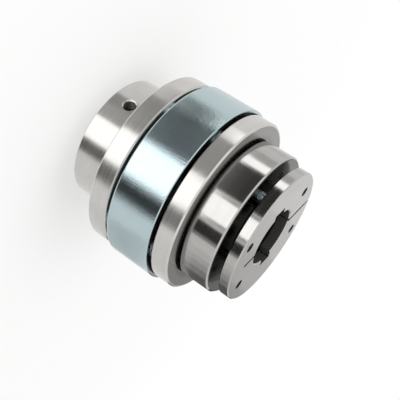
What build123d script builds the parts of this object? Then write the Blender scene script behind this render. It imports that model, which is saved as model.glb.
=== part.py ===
from build123d import *
import os
from math import cos, radians, sin, tan

# Flexible disc coupling, standing on the end of its drive hub with the shaft axis along +Z.
# The drive hub is bored and keyed. The driven hub has a taper bore that closes a split, flanged
# bushing on its shaft. Two packs of thin laminae, one at each side of a centre ring, carry the
# torque and give way to misalignment. A thin sleeve on the centre ring covers the packs.

# ---- Shafts, keys and set screw -------------------------------------------------------------
shaft_d = 30.0
key_width = 8.0
key_depth = 3.3                 # above the crown of the bore
bore_edge = 0.6
set_screw_d = 6.0
set_screw_length = 8.0
set_screw_socket = 3.0          # across the flats
set_screw_z = 11.0              # above the hub's end face
set_screw_angle = -118.0
set_screw_sink = 0.75           # countersink beyond the thread
key_play = 0.2                  # from the top of the keyway to the tip of the set screw

# ---- Hubs and flanges -----------------------------------------------------------------------
flange_d = 93.0
flange_edge = 0.7
drive_hub_length = 22.5
drive_hub_land = 2.45           # on the flange, from the drive hub's barrel to the bolts' holes
drive_flange_t = 10.5
driven_shoulder = 8.5           # from the rim of the flange in to the driven hub's barrel
driven_hub_length = 17.3        # from the flange to the free end, the groove included
driven_flange_t = 9.5
hub_edge = 1.0
root_fillet = 0.8
groove_width = 1.5              # relief at the root of the driven hub
groove_depth = 3.0

# ---- Lamina packs and their bolts -----------------------------------------------------------
bolts_per_side = 2              # to the hub, and as many to the ring, in turn
bolt_inset = 6.3                # from the rim of a flange in to the bolt circle
hub_bolt_angle = -124.0         # first bolt into the hubs
lamina_count = 4
lamina_t = 0.45
link_waist = 3.5                # how far each link of a lamina is drawn in between two bolts
link_scallop_r = 40.0
washer_d = 10.0
washer_t = 1.6
screw_d = 5.0
head_d = 8.5
head_height = 5.0
socket_size = 4.0               # across the flats
socket_depth = 2.5
hub_screw_length = 12.0
nut_size = 8.0                  # across the flats
nut_height = 4.7
bolt_tip = 2.1                  # stands out beyond the nut

# ---- Centre ring and cover sleeve -----------------------------------------------------------
ring_t = 18.2
ring_bore_d = 44.0
ring_relief_width = 8.0         # between the two lands that carry the sleeve
ring_relief_depth = 0.5
ring_edge = 0.4
sleeve_step = 1.5               # how far the sleeve stands out beyond the flanges
sleeve_wall = 1.5
sleeve_length = 24.5
sleeve_gap = 2.3                # from the drive flange to the sleeve
sleeve_round = 1.1              # rolled rim at the drive side
sleeve_edge = 0.4

# ---- Taper bushing --------------------------------------------------------------------------
bush_flange_d = 70.5
bush_flange_t = 5.8
bush_edge = 0.5
bush_length = 33.6
bush_gap = 4.0                  # from the driven hub to the flange of the bushing
taper_d = 44.0                  # large end, at the back of the flange
taper_angle = 1.8               # of the wall to the axis
slit_angle = 140.0
slit_width = 1.6
relief_slit_reach = 24.0        # radius where the slit opposite ends, in the flange
jack_circle_d = 55.0
jack_spread = 30.0              # from the slits to the jack holes at each side of them
clamp_count = 2
clamp_angle = -117.0
clamp_engagement = 4.4
counterbore_depth = 5.2

# ---- Clearances -----------------------------------------------------------------------------
seat_play = 0.02                # radial, between pieces pressed or screwed together
hole_play = 0.2                 # radial, round the shank of a screw
head_play = 0.5                 # radial, round the head of a screw
washer_play = 0.3               # radial, round a washer that must not touch the piece it faces
washer_relief = 0.8             # behind such a washer
nut_play = 0.1                  # at each flat of a nut in its pocket
pocket_play = 0.4               # beyond the tip of a screw or bolt
nut_corner_play = 1.1           # at each end of a nut's pocket

# ---- Places that follow ---------------------------------------------------------------------
shaft_r = shaft_d / 2
key_top = shaft_r + key_depth
flange_r = flange_d / 2
bolt_circle_r = flange_r - bolt_inset
jack_circle_r = jack_circle_d / 2
bolt_pitch = 360 / bolts_per_side
ring_bolt_angle = hub_bolt_angle + bolt_pitch / 2
shank_hole_r = screw_d / 2 + hole_play
head_hole_r = head_d / 2 + head_play
washer_hole_r = washer_d / 2 + washer_play
thread_r = screw_d / 2 + seat_play
drive_hub_r = bolt_circle_r - head_hole_r - drive_hub_land
driven_hub_r = flange_r - driven_shoulder
pack_t = lamina_count * lamina_t
joint_gap = 2 * washer_t + pack_t

drive_face = drive_hub_length + drive_flange_t
ring_low = drive_face + joint_gap
ring_high = ring_low + ring_t
driven_face = ring_high + joint_gap
driven_back = driven_face + driven_flange_t
driven_end = driven_back + driven_hub_length
bush_back = driven_end + bush_gap
bush_face = bush_back + bush_flange_t
bush_low = bush_face - bush_length

sleeve_r = flange_r + sleeve_step
sleeve_bore_r = sleeve_r - sleeve_wall
lamina_outer_r = bolt_circle_r + washer_d / 2
lamina_inner_r = bolt_circle_r - washer_d / 2
hub_screw_reach = hub_screw_length - joint_gap
clamp_seat = driven_face + counterbore_depth
clamp_length = bush_back + clamp_engagement - clamp_seat
ring_bolt_length = driven_face + nut_height + bolt_tip - drive_face


def taper_radius(z):
    """Radius of the bushing's taper at a height."""
    return taper_d / 2 - (bush_back - z) * tan(radians(taper_angle))


def cut_from_axis(width, reach, angle, low, high):
    """Cut a slot with parallel sides, from the axis out to a radius, between two heights."""
    with BuildSketch(Plane.XY.offset(low)) as slot:
        with PolarLocations(0, 1, angle):
            Rectangle(reach, width, align=(Align.MIN, Align.CENTER))
    extrude(to_extrude=slot.sketch, amount=high - low, mode=Mode.SUBTRACT)


def up(z):
    """Plane at a height that faces up."""
    return Plane(origin=(0, 0, z), x_dir=(1, 0, 0), z_dir=(0, 0, 1))


def down(z):
    """Plane at a height that faces down, with the angles round the axis kept."""
    return Plane(origin=(0, 0, z), x_dir=(1, 0, 0), z_dir=(0, 0, -1))


def place(plane, radius, count, angle):
    """Places on a circle round the axis, by their true angles, for a plane of up or down."""
    turn = plane.z_dir.Z
    return PolarLocations(radius, count, angle * turn, 360 * turn)


# ---- Drive hub: barrel, flange, keyed bore, holes for the pack's screws and bolts --------------
with BuildPart() as drive_hub:
    with BuildSketch():
        Circle(drive_hub_r)
    extrude(amount=drive_hub_length)
    with BuildSketch(up(drive_hub_length)):
        Circle(flange_r)
    extrude(amount=drive_flange_t)
    rims = drive_hub.edges().filter_by(GeomType.CIRCLE).sort_by(Axis.Z)
    chamfer(rims[0], hub_edge)
    chamfer(rims.filter_by(lambda rim: rim.radius == flange_r), flange_edge)
    roots = drive_hub.edges().filter_by(GeomType.CIRCLE).group_by(Axis.Z)[2]
    fillet(roots.sort_by(SortBy.RADIUS)[0], root_fillet)
    Hole(shaft_r)
    bores = drive_hub.edges().filter_by(GeomType.CIRCLE).filter_by(lambda rim: rim.radius == shaft_r)
    chamfer(bores, bore_edge)
    cut_from_axis(key_width, key_top, set_screw_angle, 0, drive_face)
    with Locations(up(drive_face)):
        with place(up(drive_face), bolt_circle_r, bolts_per_side, hub_bolt_angle):
            Hole(thread_r, depth=hub_screw_reach + pocket_play)
        with place(up(drive_face), bolt_circle_r, bolts_per_side, ring_bolt_angle):
            CounterBoreHole(head_hole_r, washer_hole_r, washer_relief, depth=drive_flange_t)
    radial = (cos(radians(set_screw_angle)), sin(radians(set_screw_angle)), 0)
    mouth = Plane(origin=Vector(*radial) * (drive_hub_r) + Vector(0, 0, set_screw_z), z_dir=radial)
    with Locations(mouth):
        CounterSinkHole(
            set_screw_d / 2 + seat_play,
            set_screw_d / 2 + set_screw_sink,
            depth=drive_hub_r - shaft_r / 2,
            counter_sink_angle=90,
        )
drive_hub.part.label = "drive_hub"

# ---- Set screw: a headless screw over the keyway ----------------------------------------------
tip_r = key_top + key_play
with BuildPart() as set_screw:
    with BuildSketch(Plane(origin=Vector(*radial) * tip_r + Vector(0, 0, set_screw_z), z_dir=radial)):
        Circle(set_screw_d / 2)
    extrude(amount=set_screw_length)
    chamfer(set_screw.edges().filter_by(GeomType.CIRCLE), bore_edge)
    outer = Plane(
        origin=Vector(*radial) * (tip_r + set_screw_length) + Vector(0, 0, set_screw_z), z_dir=radial
    )
    with BuildSketch(outer):
        RegularPolygon(set_screw_socket / 2, 6, major_radius=False)
    extrude(amount=-set_screw_length / 2, mode=Mode.SUBTRACT)
set_screw.part.label = "set_screw"

# ---- Driven hub: flange, root groove, barrel, taper bore, nut pockets --------------------------
with BuildPart() as driven_hub:
    with BuildSketch(up(driven_face)):
        Circle(flange_r)
    extrude(amount=driven_flange_t)
    with BuildSketch(up(driven_back)):
        Circle(driven_hub_r - groove_depth)
    extrude(amount=groove_width)
    with BuildSketch(up(driven_back + groove_width)):
        Circle(driven_hub_r)
    extrude(amount=driven_hub_length - groove_width)
    rims = driven_hub.edges().filter_by(GeomType.CIRCLE).sort_by(Axis.Z)
    chamfer(rims[-1], hub_edge)
    chamfer(rims.filter_by(lambda rim: rim.radius == flange_r), flange_edge)
    with BuildSketch(Plane.XZ):
        with BuildLine():
            Polyline(
                (0, driven_face),
                (taper_radius(driven_face) + seat_play, driven_face),
                (taper_radius(driven_end) + seat_play, driven_end),
                (0, driven_end),
                close=True,
            )
        make_face()
    revolve(axis=Axis.Z, mode=Mode.SUBTRACT)
    mouths = driven_hub.edges().filter_by(GeomType.CIRCLE).sort_by(SortBy.RADIUS)[:2]
    chamfer(mouths, bore_edge)
    with Locations(down(driven_face)):
        with place(down(driven_face), bolt_circle_r, bolts_per_side, hub_bolt_angle):
            Hole(thread_r, depth=hub_screw_reach + pocket_play)
        with place(down(driven_face), bolt_circle_r, bolts_per_side, ring_bolt_angle):
            Hole(washer_hole_r, depth=washer_relief)
        with place(down(driven_face), jack_circle_r, clamp_count, clamp_angle):
            CounterBoreHole(shank_hole_r, head_hole_r, counterbore_depth)
    with BuildSketch(down(driven_face)):
        with place(down(driven_face), bolt_circle_r, bolts_per_side, ring_bolt_angle):
            SlotOverall(
                nut_size / cos(radians(30)) + 2 * nut_corner_play,
                nut_size + 2 * nut_play,
                rotation=90,
            )
    extrude(amount=-(nut_height + bolt_tip + pocket_play), mode=Mode.SUBTRACT)
driven_hub.part.label = "driven_hub"

# ---- Taper bushing: split barrel with a flange, two keyways, four jack holes --------------------
with BuildPart() as taper_bushing:
    with BuildSketch(Plane.XZ):
        with BuildLine():
            Polyline(
                (0, bush_low),
                (taper_radius(bush_low), bush_low),
                (taper_d / 2, bush_back),
                (bush_flange_d / 2, bush_back),
                (bush_flange_d / 2, bush_face),
                (0, bush_face),
                close=True,
            )
        make_face()
    revolve(axis=Axis.Z)
    rims = taper_bushing.edges().filter_by(GeomType.CIRCLE)
    chamfer(rims.filter_by(lambda rim: rim.radius == bush_flange_d / 2), bush_edge)
    chamfer(rims.sort_by(Axis.Z)[0], bush_edge)
    Hole(shaft_r)
    bores = taper_bushing.edges().filter_by(GeomType.CIRCLE).filter_by(lambda rim: rim.radius == shaft_r)
    chamfer(bores, bore_edge)
    for side in (90, 270):
        cut_from_axis(key_width, key_top, slit_angle + side, bush_low, bush_face)
    cut_from_axis(slit_width, bush_flange_d, slit_angle, bush_low, bush_face)
    cut_from_axis(slit_width, relief_slit_reach, slit_angle + 180, bush_low, bush_face)
    with Locations(up(bush_face)):
        for side in (-jack_spread, jack_spread):
            with place(up(bush_face), jack_circle_r, 2, slit_angle + side):
                Hole(thread_r, depth=bush_flange_t)
    with Locations(down(bush_back)):
        with place(down(bush_back), jack_circle_r, clamp_count, clamp_angle):
            Hole(thread_r, depth=clamp_engagement + pocket_play)
taper_bushing.part.label = "taper_bushing"

# ---- Centre ring: lands for the sleeve, holes for the ring bolts and for the hub screws' heads ---
with BuildPart() as centre_ring:
    with BuildSketch(up(ring_low)):
        Circle(sleeve_bore_r - seat_play)
        Circle(ring_bore_d / 2, mode=Mode.SUBTRACT)
    extrude(amount=ring_t)
    chamfer(centre_ring.edges().filter_by(GeomType.CIRCLE), ring_edge)
    with BuildSketch(up(ring_low + (ring_t - ring_relief_width) / 2)):
        Circle(sleeve_bore_r)
        Circle(sleeve_bore_r - ring_relief_depth, mode=Mode.SUBTRACT)
    extrude(amount=ring_relief_width, mode=Mode.SUBTRACT)
    with Locations(up(ring_low)):
        with place(up(ring_low), bolt_circle_r, bolts_per_side, ring_bolt_angle):
            Hole(shank_hole_r)
        with place(up(ring_low), bolt_circle_r, bolts_per_side, hub_bolt_angle):
            Hole(head_hole_r)
            Hole(washer_hole_r, depth=washer_relief)
    with Locations(up(ring_high)):
        with place(up(ring_high), bolt_circle_r, bolts_per_side, hub_bolt_angle):
            Hole(washer_hole_r, depth=washer_relief)
centre_ring.part.label = "centre_ring"

# ---- Cover sleeve: a thin tube with one rolled rim ----------------------------------------------
with BuildPart() as cover_sleeve:
    with BuildSketch(up(drive_face + sleeve_gap)):
        Circle(sleeve_r)
        Circle(sleeve_bore_r, mode=Mode.SUBTRACT)
    extrude(amount=sleeve_length)
    rims = cover_sleeve.edges().filter_by(GeomType.CIRCLE).group_by(Axis.Z)
    fillet(rims[0].sort_by(SortBy.RADIUS)[-1], sleeve_round)
    chamfer(rims[-1].sort_by(SortBy.RADIUS)[-1], sleeve_edge)
cover_sleeve.part.label = "cover_sleeve"


# ---- Laminae: thin rings, drawn in between the bolts --------------------------------------------
def make_lamina(name, z):
    """One lamina of a pack, with its lower face at a height."""
    with BuildPart() as lamina:
        with BuildSketch(up(z)):
            Circle(lamina_outer_r)
            Circle(lamina_inner_r, mode=Mode.SUBTRACT)
            middle = hub_bolt_angle + bolt_pitch / 4
            with PolarLocations(lamina_outer_r - link_waist + link_scallop_r, 2 * bolts_per_side, middle):
                Circle(link_scallop_r, mode=Mode.SUBTRACT)
            with PolarLocations(bolt_circle_r, 2 * bolts_per_side, hub_bolt_angle):
                Circle(shank_hole_r, mode=Mode.SUBTRACT)
        extrude(amount=lamina_t)
    lamina.part.label = name
    return lamina.part


packs = {"drive": drive_face + washer_t, "driven": ring_high + washer_t}
laminae = [
    make_lamina(f"{side}_lamina_{layer + 1}", low + layer * lamina_t)
    for side, low in packs.items()
    for layer in range(lamina_count)
]


# ---- Collar washers: one at each side of a pack, at each bolt -----------------------------------
def make_washers(name, low):
    """The washers of a pack whose lowest lamina lies at a height."""
    with BuildPart() as washers:
        for face in (low - washer_t, low + pack_t):
            with BuildSketch(up(face)):
                with PolarLocations(bolt_circle_r, 2 * bolts_per_side, hub_bolt_angle):
                    Circle(washer_d / 2)
                    Circle(shank_hole_r, mode=Mode.SUBTRACT)
            extrude(amount=washer_t)
    washers.part.label = name
    return washers.part


washer_sets = [make_washers(f"{side}_washers", low) for side, low in packs.items()]


# ---- Hexagon-socket cap screws, nuts ------------------------------------------------------------
def make_cap_screws(name, seat, length, circle_r, count, angle):
    """Cap screws with their heads on a plane, on the side that it faces."""
    with BuildPart() as screws:
        with BuildSketch(seat):
            with place(seat, circle_r, count, angle):
                Circle(head_d / 2)
        extrude(amount=head_height)
        with BuildSketch(seat):
            with place(seat, circle_r, count, angle):
                Circle(screw_d / 2)
        extrude(amount=-length)
        with BuildSketch(seat.offset(head_height - socket_depth)):
            with place(seat, circle_r, count, angle):
                RegularPolygon(socket_size / 2, 6, major_radius=False)
        extrude(amount=socket_depth, mode=Mode.SUBTRACT)
    screws.part.label = name
    return screws.part


screw_sets = [
    make_cap_screws("drive_hub_screws", up(ring_low), hub_screw_length, bolt_circle_r,
                    bolts_per_side, hub_bolt_angle),
    make_cap_screws("driven_hub_screws", down(ring_high), hub_screw_length, bolt_circle_r,
                    bolts_per_side, hub_bolt_angle),
    make_cap_screws("ring_bolts", down(drive_face), ring_bolt_length, bolt_circle_r,
                    bolts_per_side, ring_bolt_angle),
    make_cap_screws("clamp_screws", down(clamp_seat), clamp_length, jack_circle_r,
                    clamp_count, clamp_angle),
]

with BuildPart() as ring_nuts:
    with BuildSketch(up(driven_face)):
        with PolarLocations(bolt_circle_r, bolts_per_side, ring_bolt_angle):
            RegularPolygon(nut_size / 2, 6, major_radius=False, rotation=30)
            Circle(thread_r, mode=Mode.SUBTRACT)
    extrude(amount=nut_height)
ring_nuts.part.label = "ring_nuts"

# ---- Files: one STEP for each piece or set of like fasteners -------------------------------------
os.makedirs("parts", exist_ok=True)
turned = [piece.part for piece in (drive_hub, set_screw, driven_hub, taper_bushing)]
turned += [piece.part for piece in (centre_ring, cover_sleeve, ring_nuts)]
for piece in turned + laminae + washer_sets + screw_sets:
    export_step(piece, f"parts/{piece.label}.step")
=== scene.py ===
import math

import bpy
from mathutils import Matrix, Vector


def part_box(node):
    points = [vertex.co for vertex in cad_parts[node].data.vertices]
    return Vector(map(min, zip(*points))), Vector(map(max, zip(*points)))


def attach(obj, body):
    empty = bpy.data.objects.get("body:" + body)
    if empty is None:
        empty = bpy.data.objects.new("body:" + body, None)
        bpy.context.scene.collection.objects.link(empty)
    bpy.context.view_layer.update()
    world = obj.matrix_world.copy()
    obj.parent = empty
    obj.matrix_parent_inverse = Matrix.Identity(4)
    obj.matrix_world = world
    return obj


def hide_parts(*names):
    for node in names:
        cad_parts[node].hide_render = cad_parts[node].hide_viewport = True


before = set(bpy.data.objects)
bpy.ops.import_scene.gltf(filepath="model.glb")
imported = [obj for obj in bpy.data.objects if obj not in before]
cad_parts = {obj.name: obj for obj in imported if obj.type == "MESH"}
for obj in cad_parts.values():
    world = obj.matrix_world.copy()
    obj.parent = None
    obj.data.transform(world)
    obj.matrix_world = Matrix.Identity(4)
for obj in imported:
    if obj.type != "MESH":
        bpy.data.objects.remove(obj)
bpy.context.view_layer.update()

bl_info = {
    "name": "Disc Coupling",
    "version": (1, 0, 0),
    "blender": (4, 5, 0),
    "location": "View3D > Sidebar > Coupling",
    "description": "Finishes and small details of a flexible disc coupling with a taper bushing",
    "category": "Object",
}

MM = 0.001

# ---- Sizes and places that follow the solids, in millimetres and degrees about the axis -------

BOLT_CIRCLE = 40.2              # radius of the circle of the packs' screws and bolts
CLAMP_CIRCLE = 27.5             # radius of the circle of the clamp screws and the jack holes
HUB_SCREW_ANGLES = (-124, 56)
RING_BOLT_ANGLES = (-34, 146)
CLAMP_SCREW_ANGLES = (-117, 63)
JACK_HOLE_ANGLES = (110, 170, 290, 350)
BUSH_FLANGE = 5.8               # thickness of the bushing's flange
RIM_START, RIM_END = 39, 41     # radii between which the barrels' finish gives way to the rims'

SCREW_RADIUS = 2.5
HEAD_RADIUS = 4.25
HEAD_HEIGHT = 5
HEAD_BEVEL = 0.35
HEAD_CORNERS = 72               # two to each ridge of the knurl
KNURL_ROOT = 0.972              # radius at the foot of the knurl, as a share of the head's
SOCKET_ACROSS = 4
SOCKET_DEPTH = 2.5
SINK = 0.05                     # how far one piece of a screw reaches into the next
POINT = 0.5                     # from the end of the thread to the end of the screw
POINT_RADIUS = 2.05
POINT_BEVEL = 0.3

SET_SCREW_ANGLE = -118
SET_SCREW_HEIGHT = 11
SET_SCREW_TIP = 18.5            # from the shaft axis
SET_SCREW_LENGTH = 8
SET_SCREW_RADIUS = 2.98
SET_SCREW_PITCH = 1.0
SET_SCREW_SOCKET = 3            # across the flats
SET_HOLE_THREAD_START = 26.9    # from the shaft axis

THREAD_STEPS = 28               # faces to one turn of a thread
MERGE = 0.002 * MM              # ends of turns that meet
MERGE_CUT = 0.0005 * MM         # corners that a cut leaves in one place
CUT_REACH = 1e-7                # metres within which a cut takes a corner as on its plane
SMOOTH_ANGLE = 32


def linear(hex_colour):
    """Turns an sRGB hex colour into Blender's linear colour."""
    out = []
    for i in (1, 3, 5):
        c = int(hex_colour[i:i + 2], 16) / 255
        out.append(c / 12.92 if c <= 0.04045 else ((c + 0.055) / 1.055) ** 2.4)
    return tuple(out)


# ---- Sizes and colours that a user would change ---------------------------------------------

class CouplingSizes(bpy.types.PropertyGroup):
    screw_pitch: bpy.props.FloatProperty(
        name="Screw pitch", description="Rise of an M5 thread in one turn",
        default=0.8 * MM, min=0.2 * MM, max=2 * MM, unit="LENGTH", subtype="DISTANCE")


class CouplingColours(bpy.types.PropertyGroup):
    steel: bpy.props.FloatVectorProperty(
        name="Turned steel", description="Hubs, as their rims show it",
        default=linear("#D2D0CC"), size=3, min=0, max=1, subtype="COLOR")
    fine_steel: bpy.props.FloatVectorProperty(
        name="Fine turned steel", description="Bushing and the barrel of the driven hub",
        default=linear("#BEBCB9"), size=3, min=0, max=1, subtype="COLOR")
    zinc: bpy.props.FloatVectorProperty(
        name="Blue zinc", description="Plating of the sleeve",
        default=linear("#C7D2D6"), size=3, min=0, max=1, subtype="COLOR")
    spring: bpy.props.FloatVectorProperty(
        name="Spring steel", description="Laminae",
        default=linear("#8E8F90"), size=3, min=0, max=1, subtype="COLOR")
    black: bpy.props.FloatVectorProperty(
        name="Black oxide", description="Centre ring and set screw",
        default=linear("#3A3A3B"), size=3, min=0, max=1, subtype="COLOR")
    floor: bpy.props.FloatVectorProperty(
        name="Floor", description="Pale floor under the coupling",
        default=linear("#F6F6F5"), size=3, min=0, max=1, subtype="COLOR")


# ---- Materials ------------------------------------------------------------------------------

def node(tree, kind, settings=None, links=None):
    """Adds a node, sets its properties and sockets, and links its inputs."""
    made = tree.nodes.new(kind)
    for key, value in (settings or {}).items():
        if isinstance(key, str) and hasattr(made, key):
            setattr(made, key, value)
        else:
            made.inputs[key].default_value = value
    for key, source in (links or {}).items():
        tree.links.new(source, made.inputs[key])
    return made


def new_material(name, slot_colour):
    """Starts a material with only an output and a Principled shader."""
    made = bpy.data.materials.new(name)
    made.use_nodes = True
    made.diffuse_color = (*slot_colour, 1)
    tree = made.node_tree
    tree.nodes.clear()
    shader = node(tree, "ShaderNodeBsdfPrincipled")
    node(tree, "ShaderNodeOutputMaterial", None, {"Surface": shader.outputs["BSDF"]})
    return made, tree, shader


def lathe_space(tree):
    """Object coordinates of a turned piece: its radius, its height and the way round its axis."""
    place = node(tree, "ShaderNodeTexCoord").outputs["Object"]
    split = node(tree, "ShaderNodeSeparateXYZ", None, {"Vector": place})
    flat = node(tree, "ShaderNodeCombineXYZ", None,
                {"X": split.outputs["X"], "Y": split.outputs["Y"]})
    radius = node(tree, "ShaderNodeVectorMath", {"operation": "LENGTH"}, {0: flat.outputs[0]})
    around = node(tree, "ShaderNodeVectorMath", {"operation": "CROSS_PRODUCT", 1: (0, 0, 1)},
                  {0: flat.outputs[0]})
    return place, split.outputs["Z"], radius.outputs["Value"], around.outputs["Vector"]


def turned(name, base, rim_base, roughness, rim_roughness, metallic, rim_metallic, mark_mm,
           painted_shade_zones=()):
    """Steel turned on a lathe. The tool leaves fine rings round the axis, so a highlight runs
    along the barrel as a clean band, and faint rings and clouds show where it meets the dark.
    Real rings are a tenth or two of a millimetre apart, and are drawn coarser so that they show.
    The rims of the flanges are cut faster and are paler and duller. Painted shade darkens the faces
    inside gaps, grooves and bores: each zone is given by its low and high ends and outer radius in
    mm, and the shares of colour and of metallic that it leaves.
    radius in mm, and the shares of colour and of bare metal that it leaves."""
    made, tree, shader = new_material(name, base)
    shader.inputs["Anisotropic"].default_value = 0.3
    shader.inputs["Anisotropic Rotation"].default_value = 0.25
    place, height, radius, around = lathe_space(tree)
    tree.links.new(around, shader.inputs["Tangent"])
    rings = node(tree, "ShaderNodeCombineXYZ", None, {"X": radius, "Y": height})
    marks = node(tree, "ShaderNodeTexNoise", {"noise_dimensions": "2D", "Scale": 1 / (mark_mm * MM),
                 "Detail": 2.0, "Roughness": 0.6}, {"Vector": rings.outputs[0]})
    cloud = node(tree, "ShaderNodeTexNoise",
                 {"Scale": 1 / (9 * MM), "Detail": 4.0, "Roughness": 0.6}, {"Vector": place})
    rim = node(tree, "ShaderNodeMapRange", {"From Min": RIM_START * MM,
               "From Max": RIM_END * MM}, {"Value": radius})
    steel = node(tree, "ShaderNodeMix", {"data_type": "RGBA", 6: (*base, 1), 7: (*rim_base, 1)},
                 {0: rim.outputs[0]})
    shade = node(tree, "ShaderNodeMapRange", {"From Min": 0.3, "From Max": 0.7, "To Min": 0.96,
                 "To Max": 1.03}, {"Value": cloud.outputs["Fac"]})
    ridge = node(tree, "ShaderNodeMapRange", {"From Min": 0.3, "From Max": 0.7, "To Min": 0.97,
                 "To Max": 1.02}, {"Value": marks.outputs["Fac"]})
    shade = node(tree, "ShaderNodeMath", {"operation": "MULTIPLY"},
                 {0: shade.outputs[0], 1: ridge.outputs[0]})
    bare = node(tree, "ShaderNodeMapRange", {"To Min": metallic, "To Max": rim_metallic},
                {"Value": rim.outputs[0]})
    # Painted shade: each zone darkens the colour, and may lower the metallic, where gaps, grooves
    # and bores lie in shade.
    for low, high, outer, shade_colour_share, bright in painted_shade_zones:
        above = node(tree, "ShaderNodeMath", {"operation": "GREATER_THAN", 1: low * MM},
                     {0: height})
        below = node(tree, "ShaderNodeMath", {"operation": "LESS_THAN", 1: high * MM},
                     {0: height})
        inside = node(tree, "ShaderNodeMath", {"operation": "LESS_THAN", 1: outer * MM},
                      {0: radius})
        span = node(tree, "ShaderNodeMath", {"operation": "MULTIPLY"},
                    {0: above.outputs[0], 1: below.outputs[0]})
        painted_shade_mask = node(tree, "ShaderNodeMath", {"operation": "MULTIPLY"},
                    {0: span.outputs[0], 1: inside.outputs[0]})
        painted_shade_dim = node(tree, "ShaderNodeMapRange", {"To Min": 1.0, "To Max": shade_colour_share},
                    {"Value": painted_shade_mask.outputs[0]})
        shade = node(tree, "ShaderNodeMath", {"operation": "MULTIPLY"},
                     {0: shade.outputs[0], 1: painted_shade_dim.outputs[0]})
        if bright < 1:
            painted_shade_dulling = node(tree, "ShaderNodeMapRange", {"To Min": 1.0, "To Max": bright},
                        {"Value": painted_shade_mask.outputs[0]})
            bare = node(tree, "ShaderNodeMath", {"operation": "MULTIPLY"},
                        {0: bare.outputs[0], 1: painted_shade_dulling.outputs[0]})
    tone = node(tree, "ShaderNodeVectorMath", {"operation": "SCALE"},
                {0: steel.outputs[2], 3: shade.outputs[0]})
    tree.links.new(tone.outputs[0], shader.inputs["Base Color"])
    tree.links.new(bare.outputs[0], shader.inputs["Metallic"])
    cut = node(tree, "ShaderNodeMapRange", {"To Min": roughness, "To Max": rim_roughness},
               {"Value": rim.outputs[0]})
    worn = node(tree, "ShaderNodeMapRange", {"From Min": 0.3, "From Max": 0.7, "To Min": 0.9,
                "To Max": 1.12}, {"Value": marks.outputs["Fac"]})
    rough = node(tree, "ShaderNodeMath", {"operation": "MULTIPLY"},
                 {0: cut.outputs[0], 1: worn.outputs[0]})
    tree.links.new(rough.outputs[0], shader.inputs["Roughness"])
    bump = node(tree, "ShaderNodeBump", {"Strength": 1.0, "Distance": 0.003 * MM},
                {"Height": marks.outputs["Fac"]})
    tree.links.new(bump.outputs[0], shader.inputs["Normal"])
    return made


def plated(name, base, roughness, grain_mm, depth_mm=0.03):
    """Steel with blue passivated zinc. The plating shows a fine crystal grain, which breaks the
    edges of its highlights into small sparks, and it is cooler in colour than bare steel. The
    grain of a real coat is far finer, and is drawn as coarse as it needs to be to show."""
    made, tree, shader = new_material(name, base)
    shader.inputs["Metallic"].default_value = 0.97
    place = node(tree, "ShaderNodeTexCoord").outputs["Object"]
    grain = node(tree, "ShaderNodeTexNoise", {"Scale": 1 / (grain_mm * MM), "Detail": 1.0},
                 {"Vector": place})
    cloud = node(tree, "ShaderNodeTexNoise", {"Scale": 1 / (22 * MM), "Detail": 3.0},
                 {"Vector": place})
    dark = [c * f for c, f in zip(base, (0.86, 0.92, 1.0))]
    light = [min(1, c * f) for c, f in zip(base, (0.98, 1.06, 0.98))]
    tone = node(tree, "ShaderNodeMix", {"data_type": "RGBA", "blend_type": "MIX", 6: (*dark, 1),
                7: (*light, 1)}, {0: cloud.outputs["Fac"]})
    tree.links.new(tone.outputs[2], shader.inputs["Base Color"])
    rough = node(tree, "ShaderNodeMapRange", {"From Min": 0.35, "From Max": 0.65,
                 "To Min": roughness * 0.8, "To Max": roughness * 1.3},
                 {"Value": grain.outputs["Fac"]})
    tree.links.new(rough.outputs[0], shader.inputs["Roughness"])
    bump = node(tree, "ShaderNodeBump", {"Strength": 1.0, "Distance": depth_mm * MM},
                {"Height": grain.outputs["Fac"]})
    tree.links.new(bump.outputs[0], shader.inputs["Normal"])
    return made


def rolled(name, base, roughness):
    """Cold rolled spring steel, blanked from strip. Long faint roll lines cross each lamina."""
    made, tree, shader = new_material(name, base)
    shader.inputs["Metallic"].default_value = 1.0
    place = node(tree, "ShaderNodeTexCoord").outputs["Object"]
    along = node(tree, "ShaderNodeMapping", {"vector_type": "POINT", "Scale": (0.06, 1, 1)},
                 {0: place})
    lines = node(tree, "ShaderNodeTexNoise", {"Scale": 1 / (0.8 * MM), "Detail": 2.0},
                 {"Vector": along.outputs[0]})
    rough = node(tree, "ShaderNodeMapRange", {"From Min": 0.35, "From Max": 0.65,
                 "To Min": roughness * 0.8, "To Max": roughness * 1.3},
                 {"Value": lines.outputs["Fac"]})
    tree.links.new(rough.outputs[0], shader.inputs["Roughness"])
    dark = [c * 0.85 for c in base]
    tone = node(tree, "ShaderNodeMix", {"data_type": "RGBA", "blend_type": "MIX", 6: (*dark, 1),
                7: (*base, 1)}, {0: lines.outputs["Fac"]})
    tree.links.new(tone.outputs[2], shader.inputs["Base Color"])
    return made


def dress(name, material):
    """Gives a CAD node its finish."""
    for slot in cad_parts[name].material_slots:
        slot.material = material


# ---- Steps ----------------------------------------------------------------------------------

def colours():
    return bpy.context.scene.coupling_colours


class COUPLING_OT_hubs(bpy.types.Operator):
    """Gives both hubs their turned finish"""
    bl_idname = "coupling.hubs"
    bl_label = "Hubs"

    def execute(self, context):
        tint = tuple(colours().steel)
        fine = tuple(colours().fine_steel)
        # Painted shade: the drive hub's bore is darkened to 0.12 of its colour.
        bore = (0.6, 33.5, 18.6, 0.12, 1)
        dress("drive_hub", turned("turned_steel_drive", tint, tint, 0.19, 0.19, 0.8, 0.8, 0.9,
                                  (bore,)))
        # Painted shade: the root groove, the end face beside the bushing and the face by the
        # sleeve's gap are darkened.
        groove = ((70.2, 72.3, 45.3, 0.42, 1), (70.9, 72.3, 37.8, 0.15, 1))
        faces = ((87.5, 88.5, 37.3, 0.12, 1), (60, 61.5, 46, 0.12, 1))
        dress("driven_hub", turned("turned_steel_driven", fine, tint, 0.13, 0.18, 0.97, 0.74, 0.9,
                                   groove + faces))
        return {"FINISHED"}


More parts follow.
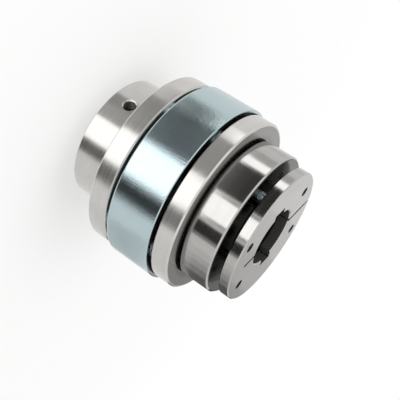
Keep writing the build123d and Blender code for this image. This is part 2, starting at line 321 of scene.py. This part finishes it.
class COUPLING_OT_bushing(bpy.types.Operator):
    """Gives the taper bushing its finely turned finish"""
    bl_idname = "coupling.bushing"
    bl_label = "Taper bushing"

    def execute(self, context):
        tint = tuple(colours().fine_steel)
        # Painted shade: the barrel inside the hub's gap and the bore are darkened, and the bore
        # keeps only 0.3 of its metallic.
        back, bore = (60, 92.2, 34.6, 0.15, 1), (60, 97.3, 18.6, 0.17, 0.3)
        dress("taper_bushing", turned("fine_turned_steel", tint, tint, 0.14, 0.14, 0.98, 0.98, 0.7,
                                      (back, bore)))
        return {"FINISHED"}


class COUPLING_OT_middle(bpy.types.Operator):
    """Gives the centre ring and the sleeve over it their finishes"""
    bl_idname = "coupling.middle"
    bl_label = "Ring and sleeve"

    def execute(self, context):
        black = tuple(colours().black)
        zinc = tuple(colours().zinc)
        dress("cover_sleeve", plated("zinc_plate_sleeve", zinc, 0.13, 0.5, 0.048))
        # The centre ring's black is partly its own black oxide and partly painted shade for the
        # gaps beside the sleeve.
        dress("centre_ring", turned("black_oxide_ring_gap_shade", black, black, 0.4, 0.4, 1.0, 1.0, 1.2))
        return {"FINISHED"}


class COUPLING_OT_packs(bpy.types.Operator):
    """Gives the laminae, washers and nuts their finishes"""
    bl_idname = "coupling.packs"
    bl_label = "Lamina packs"

    def execute(self, context):
        strip = rolled("rolled_spring_steel", tuple(colours().spring), 0.3)
        for side in ("drive", "driven"):
            for i in range(4):
                dress(f"{side}_lamina_{i + 1}", strip)
        zinc = plated("zinc_plate_washers", tuple(colours().zinc), 0.25, 0.3)
        for name in ("drive_washers", "driven_washers", "ring_nuts"):
            dress(name, zinc)
        return {"FINISHED"}


# ---- Screws and threads ---------------------------------------------------------------------

def begin():
    if bpy.context.object and bpy.context.object.mode != "OBJECT":
        bpy.ops.object.mode_set(mode="OBJECT")
    bpy.ops.object.select_all(action="DESELECT")


def choose(piece, test):
    """Selects in edit mode the vertices of a piece whose place passes the test."""
    bpy.ops.mesh.select_mode(type="VERT")
    bpy.ops.mesh.select_all(action="DESELECT")
    bpy.ops.object.mode_set(mode="OBJECT")
    for v in piece.data.vertices:
        v.select = test(v.co)
    bpy.ops.object.mode_set(mode="EDIT")


def volume(piece):
    """The volume inside a piece in edit mode, below zero where its faces point inwards."""
    piece.update_from_editmode()
    piece.data.calc_loop_triangles()
    total = 0
    for face in piece.data.loop_triangles:
        a, b, c = (piece.data.vertices[i].co for i in face.vertices)
        total += a.dot(b.cross(c))
    return total


def helix(points, closed, pitch, low, high):
    """Winds a profile, given as radius and height, about Z from one height to another."""
    begin()
    bpy.ops.mesh.primitive_circle_add(vertices=len(points), radius=1, location=(0, 0, 0))
    piece = bpy.context.object
    for v, (radius, height) in zip(piece.data.vertices, points):
        v.co = (radius, 0, height + low - pitch)
    bpy.ops.object.mode_set(mode="EDIT")
    if not closed:
        ends = {0, len(points) - 1}
        bpy.ops.mesh.select_mode(type="EDGE")
        bpy.ops.mesh.select_all(action="DESELECT")
        bpy.ops.object.mode_set(mode="OBJECT")
        for edge in piece.data.edges:
            edge.select = set(edge.vertices) == ends
        bpy.ops.object.mode_set(mode="EDIT")
        bpy.ops.mesh.delete(type="EDGE")
    bpy.ops.object.mode_set(mode="OBJECT")
    turns = math.ceil((high - low) / pitch) + 2
    wind = piece.modifiers.new("wind", "SCREW")
    wind.angle = math.tau
    wind.screw_offset = pitch
    wind.iterations = turns
    wind.steps = wind.render_steps = THREAD_STEPS
    wind.use_merge_vertices = False
    bpy.ops.object.modifier_apply(modifier="wind")
    bpy.ops.object.mode_set(mode="EDIT")
    bpy.ops.mesh.select_all(action="SELECT")
    bpy.ops.mesh.remove_doubles(threshold=MERGE)
    bpy.ops.mesh.select_all(action="SELECT")
    bpy.ops.mesh.bisect(plane_co=(0, 0, low), plane_no=(0, 0, 1), clear_inner=True, use_fill=True,
                        threshold=CUT_REACH)
    bpy.ops.mesh.select_all(action="SELECT")
    bpy.ops.mesh.bisect(plane_co=(0, 0, high), plane_no=(0, 0, 1), clear_outer=True, use_fill=True,
                        threshold=CUT_REACH)
    bpy.ops.mesh.select_all(action="SELECT")
    bpy.ops.mesh.remove_doubles(threshold=MERGE_CUT)
    bpy.ops.mesh.select_all(action="SELECT")
    bpy.ops.mesh.normals_make_consistent(inside=False)
    if volume(piece) < 0:
        bpy.ops.mesh.flip_normals()
    bpy.ops.object.mode_set(mode="OBJECT")
    return piece


def screw_thread(major, pitch, low, high):
    """Models an outside thread with a narrow flat on its crest and at its root."""
    minor = major - 0.54 * pitch
    return helix(((minor, 0), (major, 0.40 * pitch), (major, 0.54 * pitch), (minor, 0.94 * pitch),
                  (minor, pitch)), False, pitch, low, high)


def hole_thread(wall, crest, pitch, low, high):
    """Models the ridge of an inside thread, from just inside the wall to its crest."""
    return helix(((wall, 0), (crest, 0.38 * pitch), (crest, 0.52 * pitch), (wall, 0.9 * pitch)),
                 True, pitch, low, high)


def cylinder(radius, low, high, vertices=40):
    begin()
    bpy.ops.mesh.primitive_cylinder_add(vertices=vertices, radius=radius, depth=high - low,
                                        location=(0, 0, (low + high) / 2))
    piece = bpy.context.object
    piece.data.transform(piece.matrix_world)
    piece.matrix_world = Matrix.Identity(4)
    return piece


def bevel_end(piece, height, width):
    """Bevels the round edge of a piece at one height."""
    bpy.ops.object.mode_set(mode="EDIT")
    choose(piece, lambda p: abs(p.z - height) < 0.001 * MM)
    bpy.ops.mesh.bevel(offset=width, segments=2, affect="EDGES")
    bpy.ops.object.mode_set(mode="OBJECT")


def cut_socket(piece, across, low, high):
    """Cuts a hexagon socket, given across its flats, between two heights."""
    bit = cylinder(across / 2 / math.cos(math.radians(30)), low, high, 6)
    cut = piece.modifiers.new("socket", "BOOLEAN")
    cut.object = bit
    cut.operation = "DIFFERENCE"
    cut.solver = "EXACT"
    bpy.ops.object.select_all(action="DESELECT")
    bpy.context.view_layer.objects.active = piece
    bpy.ops.object.modifier_apply(modifier="socket")
    bpy.data.objects.remove(bit)


def join(parts):
    bpy.ops.object.select_all(action="DESELECT")
    for part in parts:
        part.select_set(True)
    bpy.context.view_layer.objects.active = parts[0]
    bpy.ops.object.join()
    return parts[0]


def cap_screw(length, threaded):
    """Models an M5 socket head cap screw: the head below z = 0, its shank above."""
    head = cylinder(HEAD_RADIUS * MM, -HEAD_HEIGHT * MM, 0, HEAD_CORNERS)
    bpy.ops.object.mode_set(mode="EDIT")
    step = 360 / HEAD_CORNERS
    choose(head, lambda p: round(math.degrees(math.atan2(p.y, p.x)) / step) % 2 == 0)
    bpy.ops.transform.resize(value=(KNURL_ROOT, KNURL_ROOT, 1), center_override=(0, 0, 0))
    bpy.ops.object.mode_set(mode="OBJECT")
    bevel_end(head, -HEAD_HEIGHT * MM, HEAD_BEVEL * MM)
    cut_socket(head, SOCKET_ACROSS * MM, -(HEAD_HEIGHT + POINT) * MM,
               -(HEAD_HEIGHT - SOCKET_DEPTH) * MM)
    shank = cylinder(SCREW_RADIUS * MM, -2 * SINK * MM, length - threaded)
    thread = screw_thread(SCREW_RADIUS * MM, bpy.context.scene.coupling_sizes.screw_pitch,
                          length - threaded - SINK * MM, length - POINT * MM)
    tip = cylinder(POINT_RADIUS * MM, length - (POINT + 2 * SINK) * MM, length)
    bevel_end(tip, length, POINT_BEVEL * MM)
    return join([head, shank, thread, tip])


def smooth(piece):
    begin()
    piece.select_set(True)
    bpy.context.view_layer.objects.active = piece
    bpy.ops.object.shade_smooth_by_angle(angle=math.radians(SMOOTH_ANGLE))


def place_copies(model, name, places, material):
    """Copies a model to each place, joins the copies, and removes the model."""
    parts = []
    for place in places:
        part = bpy.data.objects.new(name, model.data.copy())
        bpy.context.scene.collection.objects.link(part)
        part.data.transform(place)
        parts.append(part)
    bpy.data.objects.remove(model)
    piece = join(parts)
    piece.name = name
    piece.data.materials.clear()
    piece.data.materials.append(material)
    smooth(piece)
    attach(piece, "root")
    return piece


def about_axis(radius, angles, height, flip=False):
    """Places on a circle about the shaft axis, upside down where flip is true."""
    turn = Matrix.Rotation(math.pi, 4, "X") if flip else Matrix.Identity(4)
    return [Matrix.Translation((radius * math.cos(math.radians(a)),
                                radius * math.sin(math.radians(a)), height)) @ turn
            for a in angles]


def radial_place(start):
    """The place of a piece along the set screw's hole, from a distance from the shaft axis."""
    angle = math.radians(SET_SCREW_ANGLE)
    lay = Matrix.Rotation(angle, 4, "Z") @ Matrix.Rotation(math.pi / 2, 4, "Y")
    return Matrix.Translation((start * MM * math.cos(angle), start * MM * math.sin(angle),
                               SET_SCREW_HEIGHT * MM)) @ lay


class COUPLING_OT_screws(bpy.types.Operator):
    """Models the socket head cap screws"""
    bl_idname = "coupling.screws"
    bl_label = "Cap screws"

    def execute(self, context):
        zinc = plated("zinc_plate_screws", linear("#D6D8D8"), 0.2, 0.3)
        # node, length, threaded length, circle, angles, and whether the screw points down
        rows = (
            ("drive_hub_screws", 12, 11, BOLT_CIRCLE, HUB_SCREW_ANGLES, True),
            ("driven_hub_screws", 12, 11, BOLT_CIRCLE, HUB_SCREW_ANGLES, False),
            ("ring_bolts", 35, 18, BOLT_CIRCLE, RING_BOLT_ANGLES, False),
            ("clamp_screws", 30, 20, CLAMP_CIRCLE, CLAMP_SCREW_ANGLES, False),
        )
        for name, length, threaded, radius, angles, flip in rows:
            low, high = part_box(name)
            height = high[2] - HEAD_HEIGHT * MM if flip else low[2] + HEAD_HEIGHT * MM
            made = place_copies(cap_screw(length * MM, threaded * MM), "cap_" + name,
                                about_axis(radius * MM, angles, height, flip), zinc)
            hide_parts(name)
        return {"FINISHED"}


class COUPLING_OT_set_screw(bpy.types.Operator):
    """Models the set screw over the keyway"""
    bl_idname = "coupling.set_screw"
    bl_label = "Set screw"

    def execute(self, context):
        body = screw_thread(SET_SCREW_RADIUS * MM, SET_SCREW_PITCH * MM, 0.7 * MM, 7.4 * MM)
        point = cylinder(2.4 * MM, 0, 0.8 * MM)
        bevel_end(point, 0, 0.4 * MM)
        crown = cylinder(2.44 * MM, 7.35 * MM, SET_SCREW_LENGTH * MM)
        bevel_end(crown, SET_SCREW_LENGTH * MM, 0.25 * MM)
        for part in (body, crown):
            cut_socket(part, SET_SCREW_SOCKET * MM, 4.5 * MM, 8.5 * MM)
        model = join([body, point, crown])
        tint = tuple(colours().black)
        black = turned("black_oxide_set_screw", tint, tint, 0.35, 0.35, 1.0, 1.0, 0.8)
        made = place_copies(model, "socket_set_screw", [radial_place(SET_SCREW_TIP)], black)
        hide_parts("set_screw")
        return {"FINISHED"}


class COUPLING_OT_hole_threads(bpy.types.Operator):
    """Models the threads inside the jack holes and the set screw's hole"""
    bl_idname = "coupling.hole_threads"
    bl_label = "Hole threads"

    def execute(self, context):
        # Painted shade: the threads are coloured dark so that the jack holes and the set screw's
        # hole read as shaded.
        hole_thread_shade = linear("#45423F")
        steel = turned("cut_thread_painted_shade", hole_thread_shade, hole_thread_shade, 0.3, 0.3, 1.0, 1.0, 0.7)
        pitch = context.scene.coupling_sizes.screw_pitch
        jack = hole_thread(2.54 * MM, 2.16 * MM, pitch, 0.3 * MM, 4.9 * MM)
        flange_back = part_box("taper_bushing")[1][2] - BUSH_FLANGE * MM
        place_copies(jack, "jack_hole_threads",
                     about_axis(CLAMP_CIRCLE * MM, JACK_HOLE_ANGLES, flange_back),
                     steel)
        cut = hole_thread(3.04 * MM, 2.55 * MM, SET_SCREW_PITCH * MM, 0, 5.0 * MM)
        place_copies(cut, "set_screw_hole_thread", [radial_place(SET_HOLE_THREAD_START)], steel)
        return {"FINISHED"}


# The tent stands round the coupling and is seen only in its metal. Each strip runs from one
# angle to another about the axis, in degrees, and from one height to another, in metres. Where
# strips overlap, the later one is seen.
TENT_RADIUS = 0.45
TENT_HALF = 0.6                 # half of its height
TENT_STRIPS = (
    (-107, -57, -0.60, -0.06, "middle"),
    (-103, -61, -0.60, -0.06, "bright"),
    (-102, -61, -0.06, 0.12, "middle"),
    (-97, -66, -0.06, 0.12, "bright"),
    (-57, -34, -0.60, 0.12, "low"),
    (-56, -39, -0.60, 0.12, "black"),
    (-57, -54, -0.16, -0.10, "low"),
    (-54, -35, -0.16, -0.10, "black"),
    (-35, -31, -0.16, -0.10, "low"),
    (-157, -130, -0.60, -0.16, "low"),
    (-130, -106, -0.60, -0.19, "middle"),
    (-130, -106, -0.19, -0.16, "low"),
    (-174, -107, -0.16, -0.10, "dim"),
    (-161, -106, -0.10, -0.06, "middle"),
    (-157, -106, -0.10, -0.06, "low"),
    (-162, -104, -0.06, 0.12, "low"),
    (-156, -106, -0.06, 0.12, "black"),
    (-178, -155, -0.09, -0.06, "bright"),
    (187, 201, -0.06, 0.12, "bright"),
    (177, 203, -0.16, -0.10, "middle"),
    (183, 203, -0.16, -0.10, "black"),
    (-3, 60, -0.16, -0.10, "grey"),
    (-18, -6, -0.06, 0.12, "soft"),
    (-6, 4, -0.06, 0.12, "grey"),
    (4, 16, -0.06, 0.12, "middle"),
    (16, 32, -0.06, 0.12, "low"),
    (32, 75, -0.06, 0.12, "deep"),
    (168, 184, -0.06, 0.12, "grey"),
    (128, 146, -0.06, 0.12, "soft"),
    (88, 94, 0.12, 0.60, "soft"),
    (82, 88, 0.12, 0.60, "grey"),
    (60, 82, 0.12, 0.60, "middle"),
)
TENT_LEVELS = {"plain": 0.85, "bright": 1.9, "soft": 0.73, "grey": 0.6, "middle": 0.45,
               "low": 0.28, "deep": 0.12, "dim": 0.075, "black": 0.02}

FLOOR_SIZE = 12
FLOOR_FADE = (0.14, 0.45)       # distances between which the floor fades into the background
FLOOR_LIFT = 0.5                # share of white that the camera sees in the floor
WORLD_LIGHT = 0.9               # strength of the white world as light
LAMP_PLACE = (-0.35, -0.25, 0.9)
LAMP_AIM = (0, 0, 0.05)
LAMP_SIZE = 0.6
LAMP_POWER = 2.0
CAMERA_LENS = 62.5
CAMERA_PLACE = (0.003922, -0.325244, 0.169184)
CAMERA_RIGHT = (-0.54893, 0.27247, 0.79021)     # the camera is rolled, so its right points up
CAMERA_BACK = (0, -0.94538, 0.32597)


class COUPLING_OT_stage(bpy.types.Operator):
    """Sets up the floor, the light tent, the lamp, the world and the camera"""
    bl_idname = "coupling.stage"
    bl_label = "Stage"

    def execute(self, context):
        scene = context.scene
        scene.view_settings.view_transform = "Standard"
        bpy.ops.object.select_all(action="DESELECT")
        bpy.ops.mesh.primitive_plane_add(size=FLOOR_SIZE, location=(0, 0, 0))
        floor = context.object
        floor.name = "floor"
        paint, tree, shader = new_material("matt_paper_floor", tuple(colours().floor))
        shader.inputs["Base Color"].default_value = (*colours().floor, 1)
        shader.inputs["Roughness"].default_value = 0.9
        shader.inputs["Specular IOR Level"].default_value = 0.1
        place = node(tree, "ShaderNodeTexCoord").outputs["Object"]
        away = node(tree, "ShaderNodeVectorMath", {"operation": "LENGTH"}, {0: place})
        fade = node(tree, "ShaderNodeMapRange", {"interpolation_type": "SMOOTHSTEP",
                    "From Min": FLOOR_FADE[0], "From Max": FLOOR_FADE[1]},
                    {"Value": away.outputs["Value"]})
        path = node(tree, "ShaderNodeLightPath")
        lift = node(tree, "ShaderNodeMath", {"operation": "MULTIPLY", 1: FLOOR_LIFT},
                    {0: path.outputs["Is Camera Ray"]})
        white = node(tree, "ShaderNodeEmission", {"Color": (1, 1, 1, 1), "Strength": 1.0})
        lifted = node(tree, "ShaderNodeMixShader", None,
                      {0: lift.outputs[0], 1: shader.outputs[0], 2: white.outputs[0]})
        clear = node(tree, "ShaderNodeBsdfTransparent")
        faded = node(tree, "ShaderNodeMixShader", None,
                     {0: fade.outputs[0], 1: lifted.outputs[0], 2: clear.outputs[0]})
        end = next(n for n in tree.nodes if n.type == "OUTPUT_MATERIAL")
        tree.links.new(faded.outputs[0], end.inputs["Surface"])
        floor.data.materials.append(paint)
        floor.visible_glossy = False
        tent = light_tent()

        world = bpy.data.worlds.new("white_surround")
        scene.world = world
        world.use_nodes = True
        tree = world.node_tree
        tree.nodes.clear()
        path = node(tree, "ShaderNodeLightPath")
        seen = node(tree, "ShaderNodeMath", {"operation": "MAXIMUM"},
                    {0: path.outputs["Is Camera Ray"], 1: path.outputs["Is Glossy Ray"]})
        seen = node(tree, "ShaderNodeMath", {"operation": "MAXIMUM"},
                    {0: seen.outputs[0], 1: path.outputs["Is Transmission Ray"]})
        level = node(tree, "ShaderNodeMapRange", {"To Min": WORLD_LIGHT, "To Max": 1.0},
                     {"Value": seen.outputs[0]})
        sky = node(tree, "ShaderNodeBackground", {"Color": (1, 1, 1, 1)},
                   {"Strength": level.outputs[0]})
        node(tree, "ShaderNodeOutputWorld", None, {"Surface": sky.outputs[0]})

        bpy.ops.object.light_add(type="AREA", location=LAMP_PLACE)
        lamp = context.object
        lamp.name = "softbox"
        lamp.data.shape = "SQUARE"
        lamp.data.size = LAMP_SIZE
        lamp.data.energy = LAMP_POWER
        aim = Vector(LAMP_AIM) - lamp.location
        lamp.rotation_euler = aim.to_track_quat("-Z", "Y").to_euler()
        lamp.visible_glossy = False

        bpy.ops.object.camera_add()
        camera = context.object
        camera.name = "camera"
        camera.data.sensor_width = 36
        camera.data.lens = CAMERA_LENS
        right = Vector(CAMERA_RIGHT).normalized()
        back = Vector(CAMERA_BACK)
        back = (back - right * back.dot(right)).normalized()
        up = back.cross(right)
        turn = Matrix((right, up, back)).transposed().to_4x4()
        camera.matrix_world = Matrix.Translation(CAMERA_PLACE) @ turn
        camera.data.clip_start = 0.01
        camera.data.clip_end = 20
        scene.camera = camera
        return {"FINISHED"}


def light_tent():
    """Models the tent's wall and gives each strip its own cloth."""
    bpy.ops.object.select_all(action="DESELECT")
    bpy.ops.mesh.primitive_cylinder_add(vertices=360, radius=TENT_RADIUS, depth=2 * TENT_HALF,
                                        end_fill_type="NOTHING", location=(0, 0, 0))
    tent = bpy.context.object
    tent.name = "light_tent"
    bpy.ops.object.mode_set(mode="EDIT")
    for height in sorted({h for s in TENT_STRIPS for h in s[2:4]} - {-TENT_HALF, TENT_HALF}):
        bpy.ops.mesh.select_all(action="SELECT")
        bpy.ops.mesh.bisect(plane_co=(0, 0, height), plane_no=(0, 0, 1))
    bpy.ops.object.mode_set(mode="OBJECT")
    index = {}
    for name, level in TENT_LEVELS.items():
        cloth = bpy.data.materials.new("tent_" + name)
        cloth.use_nodes = True
        cloth.node_tree.nodes.clear()
        glow = node(cloth.node_tree, "ShaderNodeEmission",
                    {"Color": (1, 1, 1, 1), "Strength": level})
        node(cloth.node_tree, "ShaderNodeOutputMaterial", None, {"Surface": glow.outputs[0]})
        index[name] = len(tent.data.materials)
        tent.data.materials.append(cloth)
    for face in tent.data.polygons:
        x, y, z = face.center
        angle = math.degrees(math.atan2(y, x))
        for start, end, low, high, name in TENT_STRIPS:
            if low <= z <= high and (angle - start) % 360 <= end - start:
                face.material_index = index[name]
    for way in ("camera", "diffuse", "transmission", "volume_scatter", "shadow"):
        setattr(tent, "visible_" + way, False)
    return tent


class COUPLING_PT_sidebar(bpy.types.Panel):
    """Lists the steps, sizes and colours of the coupling"""
    bl_idname = "COUPLING_PT_sidebar"
    bl_label = "Disc Coupling"
    bl_space_type = "VIEW_3D"
    bl_region_type = "UI"
    bl_category = "Coupling"

    def draw(self, context):
        for group in (context.scene.coupling_sizes, context.scene.coupling_colours):
            for key in group.bl_rna.properties.keys():
                if key not in ("rna_type", "name"):
                    self.layout.prop(group, key)
        for step in STEPS:
            self.layout.operator(step.bl_idname)


STEPS = (COUPLING_OT_hubs, COUPLING_OT_bushing, COUPLING_OT_middle, COUPLING_OT_packs,
         COUPLING_OT_screws, COUPLING_OT_set_screw, COUPLING_OT_hole_threads, COUPLING_OT_stage)
CLASSES = (CouplingSizes, CouplingColours, *STEPS, COUPLING_PT_sidebar)


def register():
    for item in CLASSES:
        bpy.utils.register_class(item)
    bpy.types.Scene.coupling_sizes = bpy.props.PointerProperty(type=CouplingSizes)
    bpy.types.Scene.coupling_colours = bpy.props.PointerProperty(type=CouplingColours)


def unregister():
    del bpy.types.Scene.coupling_sizes
    del bpy.types.Scene.coupling_colours
    for item in reversed(CLASSES):
        bpy.utils.unregister_class(item)


def main():
    register()
    bpy.ops.coupling.hubs()
    bpy.ops.coupling.bushing()
    bpy.ops.coupling.middle()
    bpy.ops.coupling.packs()
    bpy.ops.coupling.screws()
    bpy.ops.coupling.set_screw()
    bpy.ops.coupling.hole_threads()
    bpy.ops.coupling.stage()


if __name__ == "__main__":
    main()
